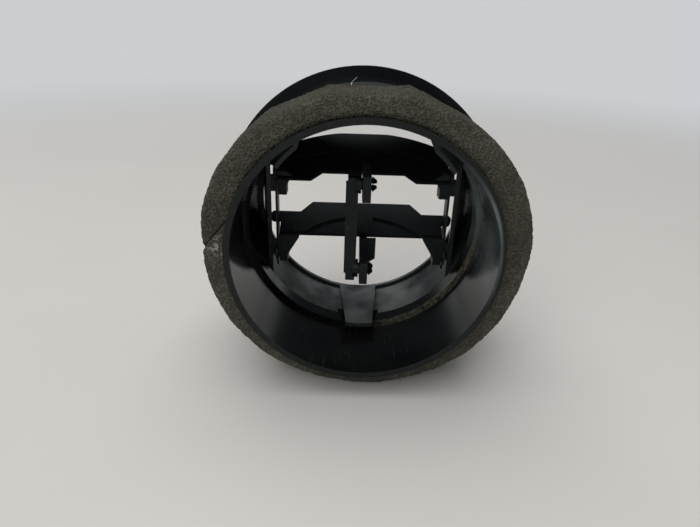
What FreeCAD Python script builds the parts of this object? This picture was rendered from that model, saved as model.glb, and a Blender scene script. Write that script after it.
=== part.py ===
import FreeCAD, Part
import math
import os
import Sketcher

# A round dashboard air vent: a moulded housing with a duct stub at the back,
# a bezel ring in front, and a drum that turns inside and carries two linked
# vanes. Millimetres. The origin lies on the vent's axis in the plane of the
# flange's back. The axis is Y: the front faces -Y and the duct goes to +Y.

doc = FreeCAD.newDocument("AirVent")
sheet = doc.addObject("Spreadsheet::Sheet", "Sizes")

SIZES = [
    # Housing: barrel, duct stub and retaining ledge
    ("barrel_radius", 47.0, "outside of the barrel"),
    ("barrel_wall", 2.0, "wall of the barrel"),
    ("duct_step", 7.0, "barrel's outside to the duct's inside"),
    ("duct_wall", 2.0, "wall of the duct stub"),
    ("duct_length", 48.3, "flange plane to the rear rim"),
    ("edge_round", 0.5, "rounding of small edges"),
    ("ledge_height", 1.0, "how far the drum's ledge stands into the duct"),
    ("ledge_length", 6.2, "ledge along the axis"),
    ("relief_depth", 0.6, "duct is wider behind the ledge, for the barbs"),
    ("relief_length", 7.1, "that wider stretch along the axis"),
    ("barrel_depth", 12.3, "flange plane to the barrel's floor"),
    ("shoulder_run", 3.4, "slope from the barrel down to the duct"),
    ("spigot_reach", 6.6, "how far the barrel goes into the bezel"),
    # Snap hooks that hold the vent in the panel
    ("hook_width", 9.0, "width of a snap hook"),
    ("hook_rise", 1.7, "catch of a snap hook above the barrel"),
    ("hook_catch", 3.2, "flange plane to the hook's catch: the panel's thickness"),
    ("hook_ramp", 6.0, "length of the hook's ramp"),
    ("hook_slot", 1.2, "slot beside a hook"),
    # Bezel ring
    ("flange_overhang", 3.5, "bezel's rim past the barrel"),
    ("flange_edge", 1.7, "thickness at the bezel's rim"),
    ("bezel_reach", 9.4, "how far the bezel stands in front of the flange plane"),
    ("mouth_inset", 2.8, "barrel's outside to the bezel's mouth"),
    ("mouth_land", 0.85, "width of the bezel's front land"),
    ("dome_shoulder", 0.5, "fall of the bezel's dome from its rim to its shoulder"),
    ("dome_rise", 5.0, "flange plane to the dome's shoulder"),
    ("dome_brow", 2.5, "fall of the dome from its rim to its brow"),
    ("dome_crest", 7.8, "flange plane to the dome's brow"),
    # Foam seal round the duct
    ("foam_front", 23.3, "flange plane to the foam's front edge"),
    ("foam_width", 17.0, "width of the foam strip"),
    ("foam_thickness", 7.3, "foam underneath"),
    ("foam_top_thickness", 4.8, "foam at the flattened top"),
    ("foam_top_half", 12.0, "half width of the flattened top"),
    ("foam_corner", 30.0, "middle to where the slanted sides meet the round"),
    ("foam_swell_left", 0.6, "how far the strip stands out of round at the left"),
    ("foam_swell_right", 2.0, "how far it stands out of round at the right"),
    ("tool_reach", 1.0, "how far a cutting piece runs past what it cuts"),
    # Drum
    ("drum_gap", 0.5, "end play between the drum and the barrel's floor"),
    ("drum_clearance", 1.9, "drum's wall to the barrel"),
    ("drum_wall_back", 2.6, "drum's wall at the back"),
    ("drum_wall_front", 3.5, "drum's wall behind its lip"),
    ("lip_width", 5.1, "width of the lip's face"),
    ("lip_reach", 10.4, "how far the lip stands in front of the flange plane"),
    ("lip_depth", 1.7, "lip along the axis"),
    ("collar_width", 1.8, "collar round the drum that the bezel holds in"),
    ("collar_clearance", 0.3, "collar and felt to the barrel"),
    ("felt_width", 9.0, "felt glued round the drum behind the collar"),
    ("collar_front", 5.4, "collar's front face in front of the flange plane"),
    # Fingers that snap behind the ledge
    ("finger_spread", 134.0, "lowest finger to the other two, degrees round the axis"),
    ("finger_root", 15.2, "width of a finger at the lip"),
    ("finger_tip", 9.5, "width of a finger at its free end"),
    ("finger_end", 25.4, "flange plane to the finger's free end"),
    ("finger_drop", 2.9, "how far the finger leans in towards its end"),
    ("finger_wall", 1.4, "thickness of the free finger"),
    ("finger_catch", 0.6, "how far a finger's barb reaches out behind the ledge"),
    ("finger_play", 0.4, "barb to the ledge"),
    ("notch_depth", 4.5, "notch in the drum's wall beside a finger"),
    ("notch_width", 15.6, "width of that notch"),
    # Cheeks and bearing strips
    ("cheek_inset", 5.4, "air opening's edge to the cheek's inner face"),
    ("cheek_wall", 1.6, "thickness of a cheek"),
    ("cheek_back", 8.6, "flange plane to the cheek's rear edge"),
    ("cheek_flare", 0.2, "how far a cheek leans out, per length"),
    ("strip_gap", 2.2, "cheek's rear edge to a bearing strip's inner face"),
    ("strip_wall", 0.8, "thickness of a bearing strip"),
    ("strip_back", 8.3, "flange plane to the strip's rear edge"),
    ("strip_depth", 5.0, "strip along the axis"),
    ("strip_end_gap", 2.27, "a strip's end to the drum's wall"),
    ("eye_wall", 1.4, "wall of the eye round a pivot"),
    ("strip_foot_height", 4.9, "height of a foot between strip and cheek"),
    ("strip_head", 2.9, "height of the foot at the strip's upper end"),
    ("upper_foot_drop", 4.8, "upper pivot to the middle of its foot"),
    ("lower_foot_rise", 1.0, "lower pivot to the middle of its foot"),
    # Vanes
    ("pivot_depth", 7.7, "flange plane to the vanes' pivots"),
    ("pivot_height", 15.4, "pivots above and below the axis"),
    ("pivot_radius", 1.9, "pivot pins"),
    ("pivot_clearance", 0.1, "pins to their holes"),
    ("pivot_proud", 0.5, "pin past the strip"),
    ("vane_tilt", 31.0, "blades at rest, degrees, front edge up"),
    ("blade_nose", 2.1, "thickness of a blade's front part"),
    ("blade_web", 1.3, "thickness of a blade's rear part"),
    ("blade_chord", 19.1, "pivot to a blade's front edge"),
    ("upper_step", 9.4, "front edge to the step in the upper blade"),
    ("upper_step_radius", 75.0, "curve of that step"),
    ("upper_front_inset", 2.7, "ear's outside to the upper blade's front corner"),
    ("upper_side_run", 5.0, "slanted side of the upper blade along the axis"),
    ("upper_corner", 7.2, "front edge back to the upper blade's front corners"),
    ("upper_tail", 3.7, "how far the upper blade's ends go behind the pivot"),
    ("upper_waist_inset", 15.6, "ear's outside to the end of the straight rear edge"),
    ("upper_lobe_inset", 11.6, "ear's outside to where the deeper ends begin"),
    ("ear_width", 3.1, "width of an ear"),
    ("ear_play", 0.4, "ear to the bearing strip"),
    ("ear_depth", 5.4, "ear along the axis"),
    ("boss_wall", 0.8, "boss round a pivot pin"),
    ("ear_gusset", 2.2, "slanted corner between the upper blade and its ear"),
    ("gusset_height", 3.5, "height of that corner"),
    ("nose_flat", 0.03, "flat left on each side of a blade's round nose"),
    ("upper_ear_drop", 7.8, "upper ear below its pivot"),
    ("lower_offset", 5.8, "lower blade above its pivot, square to the blade"),
    ("lower_rear", 3.95, "pivot to the lower blade's rear edge, along the blade"),
    ("lower_shoulder", 13.6, "pivot to the lower blade's outer front edge"),
    ("lower_tab_inset", 12.0, "ear's outside to the end of the lower blade's tab"),
    ("lower_foot_inset", 7.2, "ear's outside to the foot of that tab"),
    ("wing_reach", 3.0, "lower blade's wings past its ears"),
    ("wing_bulge", 0.9, "rounding of the wings' ends"),
    ("lower_wing", 9.9, "pivot to the wings' rear edge, along the blade"),
    ("lower_scoop", 31.6, "radius of the scoop in the lower blade"),
    ("lower_scoop_top", 12.0, "pivot to the scoop's far edge"),
    ("lower_gusset", 4.2, "slanted corner between the lower blade and its ear"),
    ("lower_ear_drop", 2.6, "lower ear below its pivot"),
    # Arms and link bar
    ("arm_reach", 12.6, "pivot to the link pin"),
    ("arm_right", 2.2, "middle to the arm's right face"),
    ("arm_left", 0.6, "middle to the arm's left face"),
    ("arm_wall", 1.2, "arm round the link pin's hole"),
    ("upper_arm_drop", 5.5, "upper arm's end below the link pin"),
    ("lower_arm_drop", 4.7, "lower arm's end below the link pin"),
    ("rib_half_width", 4.4, "half width of the arm's root on the blade"),
    ("web_width", 3.2, "web beside the lower arm"),
    ("web_wall", 1.2, "thickness of that web"),
    ("web_drop", 3.4, "web below the pivot beside the arm"),
    ("web_drop_outer", 0.8, "web below the pivot at its outer edge"),
    ("link_play", 0.5, "arm to the link bar's collar"),
    ("link_width", 4.1, "link bar across the vent"),
    ("link_depth", 4.2, "link bar along the axis"),
    ("link_foot", 1.0, "link bar's main run below its lower pin"),
    ("link_head", 0.3, "link bar's main run above its upper pin"),
    ("link_foot_tab", 2.8, "thinner tab below the main run"),
    ("link_head_tab", 2.1, "thinner tab above the main run"),
    ("link_tab_inset", 0.6, "step from the bar to its tab"),
    ("link_pin_radius", 2.0, "link pins"),
    ("link_pin_clearance", 0.1, "link pins to the arms"),
    ("link_barb", 0.6, "barb round a link pin's tip"),
    ("link_barb_length", 1.9, "barb past the arm"),
    ("link_slot", 1.5, "slot that splits a link pin"),
    ("link_collar", 0.9, "collar between the bar and an arm"),
]

for row, (name, value, note) in enumerate(SIZES, start=1):
    sheet.set("A%d" % row, name)
    sheet.set("B%d" % row, "%g" % value)
    sheet.set("C%d" % row, note)
    sheet.setAlias("B%d" % row, name)
doc.recompute()


class Size:
    """A number together with the expression that binds it to the sheet."""

    def __init__(self, value, text):
        self.value = value
        self.text = text

    def join(self, other, sign, value):
        return Size(value, "(%s %s %s)" % (self.text, sign, size(other).text))

    def __add__(self, other):
        return self.join(other, "+", self.value + size(other).value)

    def __sub__(self, other):
        return self.join(other, "-", self.value - size(other).value)

    def __mul__(self, other):
        return self.join(other, "*", self.value * size(other).value)

    def __truediv__(self, other):
        return self.join(other, "/", self.value / size(other).value)

    def __neg__(self):
        return Size(-self.value, "(-1 * %s)" % self.text)


def size(item):
    """A plain number as a Size; a Size stays as it is."""
    if isinstance(item, Size):
        return item
    return Size(float(item), "%.6f" % item)


def cosine(angle):
    return Size(math.cos(math.radians(angle.value)), "cos(%s * 1deg)" % angle.text)


def sine(angle):
    return Size(math.sin(math.radians(angle.value)), "sin(%s * 1deg)" % angle.text)


def root(item):
    return Size(math.sqrt(item.value), "sqrt(%s)" % item.text)


class Cells:
    """The sheet's cells by name."""


S = Cells()
for name, value, note in SIZES:
    setattr(S, name, Size(value, "Sizes.%s" % name))


def bind(item, prop, amount):
    item.setExpression(prop, size(amount).text)


# Planes that outlines are drawn on: the outline's own two axes in the vent's frame.
PLANES = {
    "side": FreeCAD.Rotation(FreeCAD.Vector(0, 1, 0), FreeCAD.Vector(0, 0, 1), FreeCAD.Vector(1, 0, 0), "XYZ"),
    "back": FreeCAD.Rotation(FreeCAD.Vector(1, 0, 0), FreeCAD.Vector(0, 0, 1), FreeCAD.Vector(0, -1, 0), "XYZ"),
    "plan": FreeCAD.Rotation(FreeCAD.Vector(1, 0, 0), FreeCAD.Vector(0, 1, 0), FreeCAD.Vector(0, 0, 1), "XYZ"),
}
NORMALS = {"side": (1, 0, 0), "back": (0, -1, 0), "plan": (0, 0, 1)}


def draw(sketch, points, bulges=None):
    """Close an outline through the points. A bulge, given by the index of
    the side it replaces, is the height of an arc over that side."""
    bulges = bulges or {}
    spots = [FreeCAD.Vector(size(a).value, size(b).value, 0) for a, b in points]
    count = len(spots)
    ends = []
    for index in range(count):
        start = spots[index]
        stop = spots[(index + 1) % count]
        if index not in bulges:
            sketch.addGeometry(Part.LineSegment(start, stop), False)
            ends.append((1, 2))
            continue
        chord = stop - start
        side = FreeCAD.Vector(chord.y, -chord.x, 0).normalize()
        top = (start + stop) * 0.5 + side * size(bulges[index]).value
        number = sketch.addGeometry(Part.Arc(start, top, stop), False)
        first = sketch.getPoint(number, 1)
        forward = first.distanceToPoint(start) < first.distanceToPoint(stop)
        ends.append((1, 2) if forward else (2, 1))
    for index in range(count):
        after = (index + 1) % count
        sketch.addConstraint(
            Sketcher.Constraint("Coincident", index, ends[index][1], after, ends[after][0]))
    for index, (across, up) in enumerate(points):
        corner = ends[index][0]
        for kind, amount in (("DistanceX", size(across)), ("DistanceY", size(up))):
            number = sketch.addConstraint(
                Sketcher.Constraint(kind, -1, 1, index, corner, amount.value))
            sketch.setExpression("Constraints[%d]" % number, amount.text)
    for index, rise in bulges.items():
        start, stop = points[index], points[(index + 1) % count]
        run = [size(stop[0]) - size(start[0]), size(stop[1]) - size(start[1])]
        half = (run[0] * run[0] + run[1] * run[1]) / 4
        radius = (half + size(rise) * size(rise)) / (size(rise) * 2)
        if radius.value < 0:
            radius = -radius
        number = sketch.addConstraint(Sketcher.Constraint("Radius", index, radius.value))
        sketch.setExpression("Constraints[%d]" % number, radius.text)
    return sketch


def outline(name, plane, points, bulges=None):
    """A closed outline of its own, for an extrusion or a turned piece."""
    sketch = doc.addObject("Sketcher::SketchObject", name)
    sketch.Placement = FreeCAD.Placement(FreeCAD.Vector(0, 0, 0), PLANES[plane])
    return draw(sketch, points, bulges)


def prism(name, plane, points, near, far, bulges=None):
    """An outline drawn out square to its plane, from near to far."""
    drawn = outline(name + "_outline", plane, points, bulges)
    solid = doc.addObject("Part::Extrusion", name)
    solid.Base = drawn
    solid.DirMode = "Custom"
    solid.Dir = FreeCAD.Vector(*NORMALS[plane])
    bind(solid, "LengthFwd", far)
    bind(solid, "LengthRev", -size(near))
    solid.Solid = True
    return solid


def turned(name, points, bulges=None):
    """An outline in the side plane, along the axis and out from it, turned
    all the way round the axis."""
    drawn = outline(name + "_outline", "side", points, bulges)
    solid = doc.addObject("Part::Revolution", name)
    solid.Source = drawn
    solid.Axis = FreeCAD.Vector(0, 1, 0)
    solid.Base = FreeCAD.Vector(0, 0, 0)
    solid.Angle = 360
    solid.Solid = True
    return solid


def rod(name, radius, start, length, depth, height):
    """A round rod along X, from start for the given length."""
    solid = doc.addObject("Part::Cylinder", name)
    bind(solid, "Radius", radius)
    bind(solid, "Height", length)
    solid.Placement = FreeCAD.Placement(
        FreeCAD.Vector(0, 0, 0), FreeCAD.Rotation(FreeCAD.Vector(0, 1, 0), 90))
    bind(solid, "Placement.Base.x", start)
    bind(solid, "Placement.Base.y", depth)
    bind(solid, "Placement.Base.z", height)
    return solid


def fused(name, pieces):
    solid = doc.addObject("Part::MultiFuse", name)
    solid.Shapes = pieces
    solid.Refine = True
    return solid


def cut(name, base, tool):
    solid = doc.addObject("Part::Cut", name)
    solid.Base = base
    solid.Tool = tool
    solid.Refine = True
    return solid


def common(name, first, second):
    solid = doc.addObject("Part::Common", name)
    solid.Base = first
    solid.Tool = second
    return solid


def turn_y(item, angle):
    """Turn a finished piece about the vent's axis."""
    item.Placement = FreeCAD.Placement(
        FreeCAD.Vector(0, 0, 0), FreeCAD.Rotation(FreeCAD.Vector(0, 1, 0), angle))
    return item


# Housing

barrel_bore = S.barrel_radius - S.barrel_wall
duct_bore = S.barrel_radius - S.duct_step
duct_outer = duct_bore + S.duct_wall
ledge_bore = duct_bore - S.ledge_height
ledge_back = S.barrel_depth + S.ledge_length

housing_shell = turned("housing_shell", [
    (S.duct_length, duct_bore),
    (ledge_back + S.relief_length, duct_bore),
    (ledge_back + S.relief_length - S.relief_depth, duct_bore + S.relief_depth),
    (ledge_back, duct_bore + S.relief_depth),
    (ledge_back, ledge_bore),
    (S.barrel_depth, ledge_bore),
    (S.barrel_depth, barrel_bore),
    (-S.spigot_reach, barrel_bore),
    (-S.spigot_reach, S.barrel_radius),
    (S.barrel_depth + S.barrel_wall, S.barrel_radius),
    (S.barrel_depth + S.barrel_wall + S.shoulder_run, duct_outer),
    (S.duct_length, duct_outer),
])


def snap_hook(side):
    """One sprung hook on the barrel's side: its two slots and its ramp."""
    name = "hook_" + ("left" if side > 0 else "right")
    half = S.hook_width / 2
    back = S.hook_catch + S.hook_ramp
    slots = []
    for number, sign in enumerate((1, -1)):
        low = half * sign
        high = (half + S.hook_slot) * sign
        slots.append(prism("%s_slot_%d" % (name, number), "back", [
            ((S.barrel_radius - S.barrel_wall * 2) * side, low),
            ((S.barrel_radius + S.barrel_wall) * side, low),
            ((S.barrel_radius + S.barrel_wall) * side, high),
            ((S.barrel_radius - S.barrel_wall * 2) * side, high),
        ], -back, -S.hook_catch / 2))
    seat = S.barrel_radius - S.barrel_wall / 2
    top = S.barrel_radius + S.hook_rise
    ramp = prism(name + "_ramp", "plan", [
        (seat * side, S.hook_catch),
        (top * side, S.hook_catch),
        (top * side, S.hook_catch + S.hook_ramp / 6),
        (seat * side, back),
    ], -half, half)
    return slots, ramp


left_slots, left_ramp = snap_hook(1)
right_slots, right_ramp = snap_hook(-1)
hook_slots = fused("hook_slots", left_slots + right_slots)
housing_cut = cut("housing_cut", housing_shell, hook_slots)
housing = fused("housing", [housing_cut, left_ramp, right_ramp])

# Bezel ring

flange_radius = S.barrel_radius + S.flange_overhang
bezel_mouth = S.barrel_radius - S.mouth_inset

bezel_ring = turned("bezel_ring", [
    (0, S.barrel_radius),
    (0, flange_radius),
    (-S.flange_edge, flange_radius),
    (-S.dome_rise, flange_radius - S.dome_shoulder),
    (-S.dome_crest, flange_radius - S.dome_brow),
    (-S.bezel_reach, bezel_mouth + S.mouth_land),
    (-S.bezel_reach, bezel_mouth),
    (-S.spigot_reach, bezel_mouth),
    (-S.spigot_reach, S.barrel_radius),
])

# Foam seal: a strip wrapped round the duct, flattened at the top

foam_radius = duct_outer + S.foam_thickness
foam_back = S.foam_front + S.foam_width
foam_corner_height = root(foam_radius * foam_radius - S.foam_corner * S.foam_corner)
foam_round = foam_radius - root(foam_radius * (foam_radius - foam_corner_height) / 2)

foam_wrap = prism("foam_wrap", "back", [
    (S.foam_top_half, duct_outer + S.foam_top_thickness),
    (-S.foam_top_half, duct_outer + S.foam_top_thickness),
    (-S.foam_corner, foam_corner_height),
    (0, -foam_radius),
    (S.foam_corner, foam_corner_height),
], -foam_back, -S.foam_front, {
    2: foam_round + S.foam_swell_right,
    3: foam_round + S.foam_swell_left,
})

foam_seal = cut("foam_seal", foam_wrap, turned("foam_core", [
    (S.foam_front - S.tool_reach, 0),
    (S.foam_front - S.tool_reach, duct_outer),
    (foam_back + S.tool_reach, duct_outer),
    (foam_back + S.tool_reach, 0),
]))

# Drum: a turned shell with a lip, a collar, two cheeks and three fingers
# that snap behind the housing's ledge

drum_outer = barrel_bore - S.drum_clearance
drum_rear_bore = drum_outer - S.drum_wall_back
drum_front_bore = drum_outer - S.drum_wall_front
lip_radius = drum_outer - S.lip_width
drum_back = S.barrel_depth - S.drum_gap
lip_back = S.lip_depth - S.lip_reach
collar_radius = barrel_bore - S.collar_clearance
drum_taper = (drum_rear_bore - drum_front_bore) / (drum_back - lip_back)
collar_back = S.collar_width - S.collar_front
notch_front = drum_back - S.notch_depth
face_edge = (lip_radius + drum_outer) / 2

drum_shell = turned("drum_shell", [
    (drum_back, drum_rear_bore),
    (lip_back, drum_front_bore),
    (lip_back, lip_radius),
    (-S.lip_reach, lip_radius),
    (-S.lip_reach, face_edge),
    (-S.lip_reach + S.lip_depth, drum_outer),
    (-S.collar_front, drum_outer),
    (-S.collar_front, collar_radius),
    (collar_back, collar_radius),
    (collar_back, drum_outer),
    (drum_back, drum_outer),
])

# A plug that fills the drum's bore a little into its wall; the cheeks are
# the parts of two leaning slabs that lie inside it
cheek_inner = lip_radius - S.cheek_inset
cheek_bite = (drum_outer - drum_rear_bore) / 2
drum_plug = turned("drum_plug", [
    (S.cheek_back, 0),
    (S.cheek_back, drum_front_bore + cheek_bite + drum_taper * (S.cheek_back - lip_back)),
    (lip_back, drum_front_bore + cheek_bite),
    (lip_back, 0),
])


def cheek_face(depth):
    """Distance from the middle to a cheek's inner face at a depth."""
    return cheek_inner + S.cheek_flare * (S.cheek_back - depth)


def cheek_slab(side):
    name = "cheek_slab_" + ("left" if side > 0 else "right")
    front = lip_back
    return prism(name, "plan", [
        (cheek_face(S.cheek_back) * side, S.cheek_back),
        (cheek_face(front) * side, front),
        ((cheek_face(front) + S.cheek_wall) * side, front),
        ((cheek_face(S.cheek_back) + S.cheek_wall) * side, S.cheek_back),
    ], -drum_outer, drum_outer)


cheeks = common("cheeks", fused("cheek_slabs", [cheek_slab(1), cheek_slab(-1)]), drum_plug)


def finger_inner(depth):
    """The finger's inner face at a depth: it leans in towards its end."""
    return lip_radius - S.finger_drop * (size(depth) - lip_back) / (S.finger_end - lip_back)


barb_front = ledge_back + S.finger_play
barb_back = (barb_front + S.finger_end) / 2
barb_radius = ledge_bore + S.finger_catch
wall_middle = (drum_outer + drum_front_bore) / 2
finger_ring_points = [
    (lip_back, lip_radius),
    (S.finger_end, finger_inner(S.finger_end)),
    (S.finger_end, finger_inner(S.finger_end) + S.finger_wall),
    (barb_back, barb_radius),
    (barb_front, barb_radius),
    (barb_front, finger_inner(barb_front) + S.finger_wall),
    (notch_front, finger_inner(notch_front) + S.finger_wall),
    (notch_front, wall_middle),
    (lip_back, wall_middle),
]


def finger_edge(depth):
    """Half width of a finger at a depth: it narrows from the lip to its end."""
    run = (size(depth) + S.lip_reach) / (S.finger_end + S.lip_reach)
    return S.finger_root / 2 - run * (S.finger_root - S.finger_tip) / 2


def finger(number, angle):
    """One finger, pointing down before it is turned to its place."""
    name = "finger_%d" % number
    ring = turned(name + "_ring", finger_ring_points)
    plan = prism(name + "_plan", "plan", [
        (-finger_edge(lip_back), lip_back),
        (finger_edge(lip_back), lip_back),
        (finger_edge(S.finger_end), S.finger_end),
        (-finger_edge(S.finger_end), S.finger_end),
    ], -S.barrel_radius, -lip_radius / 2)
    return turn_y(common(name, ring, plan), angle)


def finger_notch(number, angle):
    """The notch in the drum's rear edge that frees a finger."""
    name = "finger_notch_%d" % number
    notch = prism(name, "plan", [
        (-S.notch_width / 2, notch_front),
        (S.notch_width / 2, notch_front),
        (S.notch_width / 2, drum_back + S.tool_reach),
        (-S.notch_width / 2, drum_back + S.tool_reach),
    ], -S.barrel_radius, -lip_radius / 2)
    return turn_y(notch, angle)


FINGER_ANGLES = (0, S.finger_spread.value, -S.finger_spread.value)
notches = fused("finger_notches", [finger_notch(n, a) for n, a in enumerate(FINGER_ANGLES)])
drum_walls = fused("drum_walls", [cut("drum_notched", drum_shell, notches), cheeks])
drum = fused("drum", [drum_walls] + [finger(n, a) for n, a in enumerate(FINGER_ANGLES)])

# Felt band that gives the drum its drag in the barrel
felt_band = turned("felt_band", [
    (collar_back, drum_outer),
    (collar_back, collar_radius),
    (collar_back + S.felt_width, collar_radius),
    (collar_back + S.felt_width, drum_outer),
])

# Bearing strips: thin bars that hold the vanes' pivots, standing on the cheeks

strip_inner = cheek_inner - S.strip_gap
strip_outer = strip_inner + S.strip_wall
strip_front = S.strip_back - S.strip_depth
strip_sweep = drum_front_bore - S.strip_end_gap
strip_half_height = root(strip_sweep * strip_sweep - strip_outer * strip_outer)
pivot_bore = S.pivot_radius + S.pivot_clearance
pin_end = strip_outer + S.pivot_proud
foot_half = S.strip_foot_height / 2
upper_foot = S.pivot_height - S.upper_foot_drop
lower_foot = S.lower_foot_rise - S.pivot_height
strip_feet = (
    ("upper", upper_foot - foot_half, upper_foot + foot_half),
    ("lower", lower_foot - foot_half, lower_foot + foot_half),
    ("head", strip_half_height - S.strip_head, strip_half_height),
)


def bearing_strip(side):
    name = "bearing_strip_" + ("left" if side > 0 else "right")
    low = strip_inner if side > 0 else -strip_outer
    high = strip_outer if side > 0 else -strip_inner
    pieces = [prism(name + "_bar", "side", [
        (strip_front, -strip_half_height),
        (S.strip_back, -strip_half_height),
        (S.strip_back, strip_half_height),
        (strip_front, strip_half_height),
    ], low, high)]
    holes = []
    for word, level in (("upper", S.pivot_height), ("lower", -S.pivot_height)):
        pieces.append(rod("%s_eye_%s" % (name, word), pivot_bore + S.eye_wall, low, S.strip_wall,
                          S.pivot_depth, level))
        reach = S.strip_wall + S.pivot_proud * 3
        start = strip_inner - S.pivot_proud if side > 0 else -(strip_outer + S.pivot_proud * 2)
        holes.append(rod("%s_hole_%s" % (name, word), pivot_bore, start, reach,
                         S.pivot_depth, level))
    for word, foot_bottom, foot_top in strip_feet:
        pieces.append(prism("%s_foot_%s" % (name, word), "plan", [
            (strip_outer * side, S.strip_back),
            (cheek_face(S.strip_back) * side, S.strip_back),
            (cheek_face(strip_front) * side, strip_front),
            (strip_outer * side, strip_front),
        ], foot_bottom, foot_top))
    return cut(name, fused(name + "_solid", pieces), fused(name + "_holes", holes))


bearing_strip_left = bearing_strip(1)
bearing_strip_right = bearing_strip(-1)

# Vanes. A blade is drawn level, with its pivot on the origin and its front
# edge towards -Y, and then tilted. Ears, arm and pins are drawn as they
# stand at rest.

ear_outer = strip_inner - S.ear_play
ear_inner = ear_outer - S.ear_width
web_half = S.blade_web / 2
nose_top = S.blade_nose - web_half
tilt_cos = cosine(S.vane_tilt)
tilt_sin = sine(S.vane_tilt)
ear_half_depth = S.ear_depth / 2
link_bore = S.link_pin_radius + S.link_pin_clearance
arm_round = link_bore + S.arm_wall


def slab(name, points, front, back, bulges=None):
    """An outline seen from behind, given its front and back along the axis."""
    return prism(name, "back", points, -size(back), -size(front), bulges)


def block(name, low, high):
    """A plain box between two corners."""
    solid = doc.addObject("Part::Box", name)
    for prop, edge in (("Length", 0), ("Width", 1), ("Height", 2)):
        bind(solid, prop, size(high[edge]) - size(low[edge]))
    for edge, letter in enumerate("xyz"):
        bind(solid, "Placement.Base." + letter, low[edge])
    return solid


def blade(name, plan, bulges, offset, step_radius, step_centre, back):
    """A blade with a round thick nose. Behind the curved step it is a thin
    web, but for the rib in its middle that carries the arm."""
    sheet_plan = prism(name + "_plan", "plan", plan, offset - web_half, offset + nose_top, bulges)
    half_nose = S.blade_nose / 2
    section = prism(name + "_section", "side", [
        (back, offset - web_half),
        (back, offset + nose_top),
        (half_nose - S.blade_chord, offset + nose_top),
        (half_nose - S.blade_chord, offset - web_half),
    ], -S.barrel_radius, S.barrel_radius, {2: half_nose - S.nose_flat})
    scoop = doc.addObject("Part::Cylinder", name + "_scoop")
    bind(scoop, "Radius", step_radius)
    bind(scoop, "Height", S.blade_nose)
    bind(scoop, "Placement.Base.y", step_centre)
    bind(scoop, "Placement.Base.z", offset + web_half)
    rib = block(name + "_rib",
                (-S.rib_half_width, -S.blade_chord, offset - S.blade_nose),
                (S.rib_half_width, S.blade_chord, offset + S.blade_nose * 2))
    whole = cut(name, common(name + "_block", sheet_plan, section), cut(name + "_pocket", scoop, rib))
    whole.Placement = FreeCAD.Placement(
        FreeCAD.Vector(0, 0, 0), FreeCAD.Rotation(FreeCAD.Vector(-1, 0, 0), S.vane_tilt.value))
    bind(whole, "Placement.Rotation.Angle", S.vane_tilt)
    return whole


def pivot_pins(name):
    length = pin_end - ear_outer + S.tool_reach
    return [rod(name + "_pin_left", S.pivot_radius, ear_outer - S.tool_reach, length, 0, 0),
            rod(name + "_pin_right", S.pivot_radius, -pin_end, length, 0, 0)]


def ears(name, points):
    """The pair of ears, from an outline of the left one, with the round
    boss that each pivot pin stands on."""
    mirrored = [(-size(across), up) for across, up in points]
    boss = S.pivot_radius + S.boss_wall
    return [slab(name + "_ear_left", points, -ear_half_depth, ear_half_depth),
            slab(name + "_ear_right", mirrored, -ear_half_depth, ear_half_depth),
            rod(name + "_boss_left", boss, ear_inner, S.ear_width, 0, 0),
            rod(name + "_boss_right", boss, -ear_outer, S.ear_width, 0, 0)]


def arm(name, points):
    return prism(name + "_arm", "side", points, -S.arm_right, S.arm_left)


def vane(name, pieces, height):
    """Join a vane, bore its arm for the link pin and set it on its pivot."""
    bore = rod(name + "_link_bore", link_bore, -S.arm_right - S.tool_reach,
               S.arm_right + S.arm_left + S.tool_reach * 2,
               S.arm_reach, 0)
    whole = cut(name, fused(name + "_solid", pieces), bore)
    bind(whole, "Placement.Base.y", S.pivot_depth)
    bind(whole, "Placement.Base.z", height)
    return whole


upper_corner_depth = S.upper_corner - S.blade_chord
upper_half_front = ear_outer - S.upper_front_inset
upper_waist = ear_outer - S.upper_waist_inset
upper_lobe = ear_outer - S.upper_lobe_inset
upper_blade = blade("upper_blade", [
    (-upper_half_front, upper_corner_depth),
    (upper_half_front, upper_corner_depth),
    (ear_outer, upper_corner_depth + S.upper_side_run),
    (ear_outer, S.upper_tail),
    (upper_lobe, S.upper_tail),
    (upper_waist, 0),
    (-upper_waist, 0),
    (-upper_lobe, S.upper_tail),
    (-ear_outer, S.upper_tail),
    (-ear_outer, upper_corner_depth + S.upper_side_run),
], {0: S.upper_corner}, size(0), S.upper_step_radius,
    S.upper_step_radius + S.upper_step - S.blade_chord, S.upper_tail)
upper_ears = ears("upper", [
    (ear_inner - S.ear_gusset, -web_half),
    (ear_inner, S.gusset_height - S.upper_ear_drop),
    (ear_inner, -S.upper_ear_drop),
    (ear_outer, -S.upper_ear_drop),
    (ear_outer, web_half),
    (ear_inner, web_half),
])
upper_arm = arm("upper", [
    (-arm_round, arm_round),
    (0, -web_half),
    (S.arm_reach - arm_round, -S.upper_arm_drop),
    (S.arm_reach + arm_round, -S.upper_arm_drop),
    (S.arm_reach + arm_round, arm_round),
])
vane_upper = vane("vane_upper", [upper_blade] + upper_ears + [upper_arm] + pivot_pins("upper"),
                  S.pivot_height)

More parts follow.
